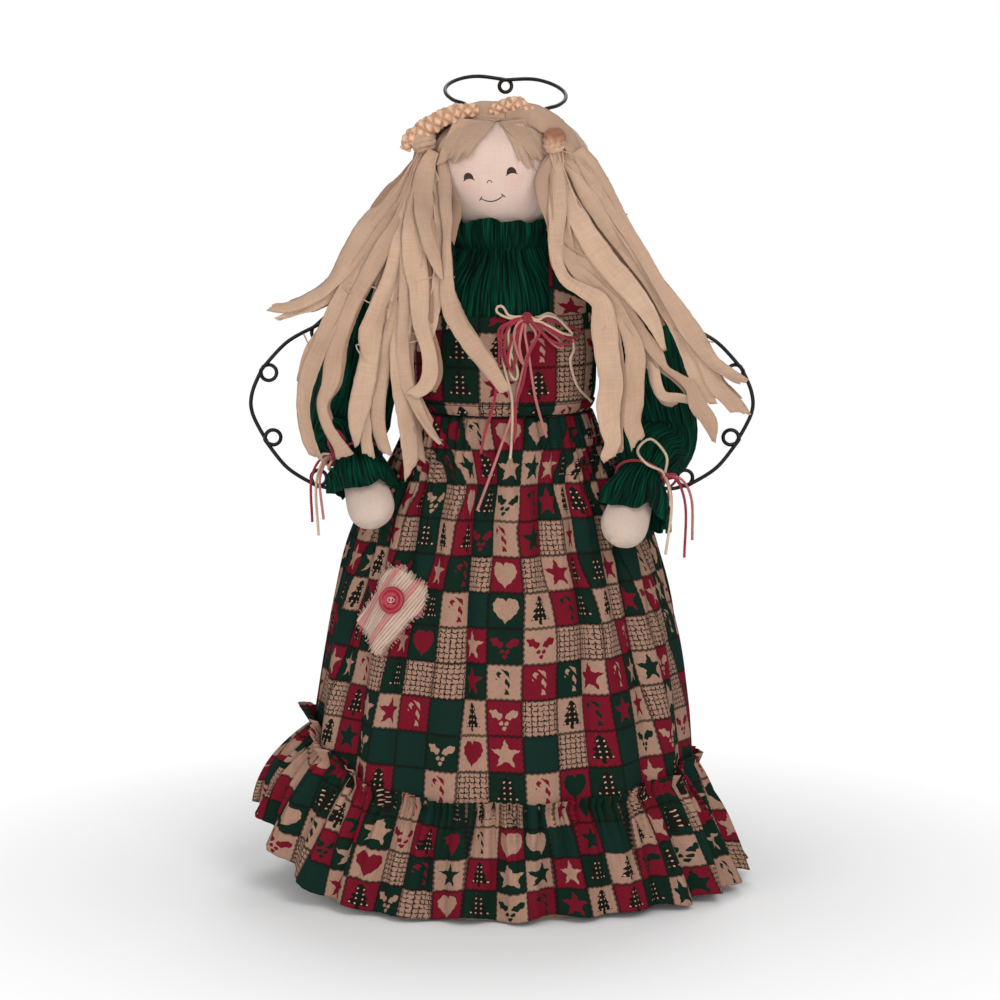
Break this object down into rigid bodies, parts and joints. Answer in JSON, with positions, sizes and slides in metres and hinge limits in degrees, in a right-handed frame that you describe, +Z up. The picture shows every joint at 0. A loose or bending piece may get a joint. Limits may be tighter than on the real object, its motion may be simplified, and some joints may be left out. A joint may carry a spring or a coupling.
{
  "type": "angel tree topper",
  "caption": "Stuffed muslin rag-doll angel on a hollow card cone that slips over the top of a tree, with a patchwork jumper, torn-strip hair, wire wings and a wire halo.",
  "frame": {"origin": "on the ground, under the middle of the cone's rim", "axes": "+Z up along the cone, -Y the way the doll faces, +X to its left hand"},
  "size_m": [0.2862, 0.2168, 0.4468],
  "materials": {
    "muslin": "matte",
    "skin": "matte",
    "green": "matte",
    "print": "matte",
    "patch": "matte",
    "stuffing": "matte",
    "yarn": "matte",
    "thread": "matte",
    "wire": "satin",
    "card": "matte",
    "button": "gloss"
  },
  "bodies": {
    "doll": {"inner_cone": "card", "torso_skin": "muslin", "torso_stuffing": "stuffing", "head_skin": "skin", "head_stuffing": "stuffing", "blouse_bodice": "green", "neck_frill": "green", "bib_front": "print", "bib_back": "print", "strap_left": "print", "strap_right": "print", "waistband": "print", "skirt_front": "print", "skirt_back": "print", "ruffle_front": "print", "ruffle_back": "print", "patch": "patch", "button": "button", "button_thread": "thread", "hair_cap": "muslin", "bang_left": "muslin", "bang_right": "muslin", "hair_roll_left": "muslin", "hair_roll_right": "muslin", "pigtail_tie_left": "muslin", "pigtail_tie_right": "muslin", "wing_casing_left": "print", "wing_casing_right": "print", "halo_casing": "muslin", "yarn_bow": "yarn"},
    "arm_left": {"arm_left_skin": "skin", "arm_left_stuffing": "stuffing", "sleeve_left": "green", "wrist_tie_left": "yarn"},
    "arm_right": {"arm_right_skin": "skin", "arm_right_stuffing": "stuffing", "sleeve_right": "green", "wrist_tie_right": "yarn"},
    "pigtail_left": {"pigtail_left": "muslin"},
    "pigtail_right": {"pigtail_right": "muslin"},
    "wing_left": {"wing_wire_left": "wire"},
    "wing_right": {"wing_wire_right": "wire"},
    "halo": {"halo_wire": "wire"}
  },
  "joints": [
    {"name": "shoulder_left", "type": "hinge", "parent": "doll", "child": "arm_left", "pos_m": [-0.07363, 0, 0.32335], "axis": [0, 1, 0], "range_deg": [0, 60]},
    {"name": "shoulder_right", "type": "hinge", "parent": "doll", "child": "arm_right", "pos_m": [0.07363, 0, 0.32335], "axis": [0, -1, 0], "range_deg": [0, 60]},
    {"name": "pigtail_left_lift", "type": "hinge", "parent": "doll", "child": "pigtail_left", "pos_m": [-0.04327, -0.01083, 0.40945], "axis": [-1, 0, 0], "range_deg": [0, 45]},
    {"name": "pigtail_right_lift", "type": "hinge", "parent": "doll", "child": "pigtail_right", "pos_m": [0.02871, -0.03005, 0.41064], "axis": [-1, 0, 0], "range_deg": [0, 45]},
    {"name": "wing_left_fold", "type": "hinge", "parent": "doll", "child": "wing_left", "pos_m": [-0.014, 0.04152, 0.3], "axis": [0, 0, -1], "range_deg": [0, 55]},
    {"name": "wing_right_fold", "type": "hinge", "parent": "doll", "child": "wing_right", "pos_m": [0.014, 0.04152, 0.3], "axis": [0, 0, 1], "range_deg": [0, 55]},
    {"name": "halo_tilt", "type": "hinge", "parent": "doll", "child": "halo", "pos_m": [0, 0.03738, 0.3937], "axis": [-1, 0, 0], "range_deg": [0, 35]}
  ]
}
